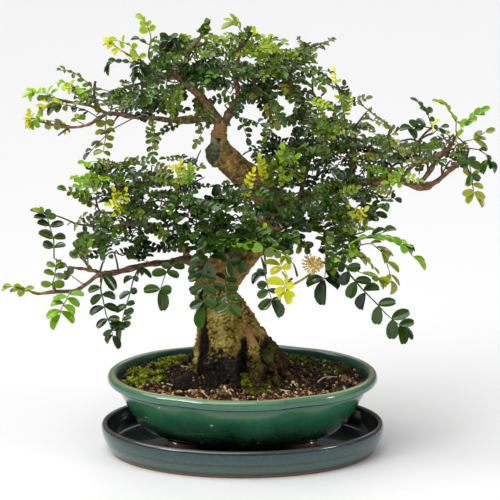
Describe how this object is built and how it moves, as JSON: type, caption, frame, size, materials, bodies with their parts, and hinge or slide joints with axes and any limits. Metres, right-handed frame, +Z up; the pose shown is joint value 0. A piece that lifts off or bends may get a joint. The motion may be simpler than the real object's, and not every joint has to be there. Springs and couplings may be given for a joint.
{
  "type": "bonsai tree",
  "caption": "Japanese pepper bonsai: a curved thick trunk with layered pads of small compound leaves, in an oval glazed pot on a matching saucer.",
  "frame": {"origin": "Centre of the saucer's flat standing face, on the surface it stands on.", "axes": "+Z is up. +X runs along the pot's long axis, to the viewer's right in the picture. -Y is the side shown to the viewer."},
  "size_m": [0.3892, 0.1709, 0.3581],
  "materials": {
    "saucer_glaze": "glazed, gloss",
    "pot_glaze": "glazed, gloss",
    "mesh_plastic": "matte",
    "soil": "rough crumbs",
    "moss": "rough",
    "bark": "rough",
    "flower": "matte",
    "leaf_dark": "glossy leaf",
    "leaf_mid": "glossy leaf",
    "leaf_olive": "satin leaf",
    "leaf_light": "satin leaf",
    "leaf_fresh": "satin leaf",
    "leaf_bright": "satin leaf",
    "leaf_young": "soft leaf"
  },
  "bodies": {
    "root": {"saucer": "saucer_glaze", "pot": "pot_glaze", "drain_mesh_left": "mesh_plastic", "drain_mesh_right": "mesh_plastic", "soil": "soil", "moss_left": "moss", "moss_right": "moss", "trunk": "bark", "flower_cluster": "flower", "spray_top_left": "leaf_light", "young_shoot_top_left": "leaf_young", "spray_left_leader_low": "leaf_dark", "spray_top_middle": "leaf_mid", "spray_left_leader": "leaf_dark", "spray_summit": "leaf_light", "spray_summit_right": "leaf_mid", "spray_top_right": "leaf_mid", "spray_under_fork": "leaf_dark", "spray_right_leader_hanging": "leaf_olive", "spray_crown": "leaf_dark", "spray_left_tip": "leaf_fresh", "young_shoot_left": "leaf_young", "spray_left_arm_outer": "leaf_mid", "spray_left_arm_low": "leaf_dark", "spray_hanging_left_arm": "leaf_dark", "spray_hanging_left_inner": "leaf_dark", "spray_left_arm_crown": "leaf_mid", "spray_left_arm_inner": "leaf_mid", "spray_mid_left_tip": "leaf_mid", "spray_mid_left_high": "leaf_mid", "young_shoot_mid_left": "leaf_young", "spray_mid_left_low": "leaf_light", "spray_mid_left_front": "leaf_dark", "young_shoot_mid": "leaf_young", "spray_mid_left_back": "leaf_dark", "spray_low_left_tip": "leaf_fresh", "spray_low_left_upright": "leaf_fresh", "spray_low_left_hanging": "leaf_dark", "spray_low_left_hanging_inner": "leaf_dark", "spray_low_left_near_trunk": "leaf_dark", "spray_trunk_front_left": "leaf_dark", "spray_trunk_front": "leaf_dark", "spray_trunk_front_right": "leaf_dark", "bright_arc_leaf": "leaf_bright", "young_cluster_low": "leaf_young", "spray_flower_twig": "leaf_dark", "spray_right_arm_inner": "leaf_dark", "spray_right_inner": "leaf_mid", "young_shoot_right_post": "leaf_young", "spray_right_post": "leaf_mid", "spray_right_arm_middle": "leaf_dark", "spray_right_mid_tip": "leaf_mid", "spray_right_up_tip": "leaf_bright", "spray_right_arm_tip": "leaf_mid", "spray_right_arm_outer_back": "leaf_mid", "spray_right_arm_hanging": "leaf_dark", "long_dark_leaf": "leaf_dark", "spray_low_right": "leaf_bright", "spray_low_right_pale": "leaf_olive", "young_cluster_right": "leaf_young"}
  },
  "joints": []
}
